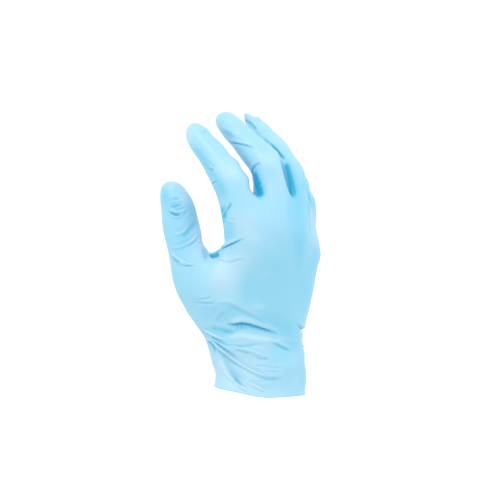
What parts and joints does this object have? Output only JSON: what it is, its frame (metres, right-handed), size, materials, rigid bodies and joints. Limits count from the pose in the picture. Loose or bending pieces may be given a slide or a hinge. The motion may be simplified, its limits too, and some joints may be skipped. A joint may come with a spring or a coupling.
{
  "type": "disposable nitrile glove",
  "caption": "Thin disposable nitrile examination glove in the shape of a half-closed right hand, open at a creased cuff that ends in a rolled bead.",
  "frame": {"origin": "centre of the cuff's mouth, where the wrist goes in", "axes": "+Z from the mouth up the wrist to the fingers, -X to the thumb's side, +X to the little finger's side, -Y out of the back of the hand, +Y out of the palm"},
  "size_m": [0.1057, 0.0914, 0.2021],
  "materials": {
    "nitrile": "satin"
  },
  "bodies": {
    "root": {"glove_film": "nitrile"}
  },
  "joints": []
}
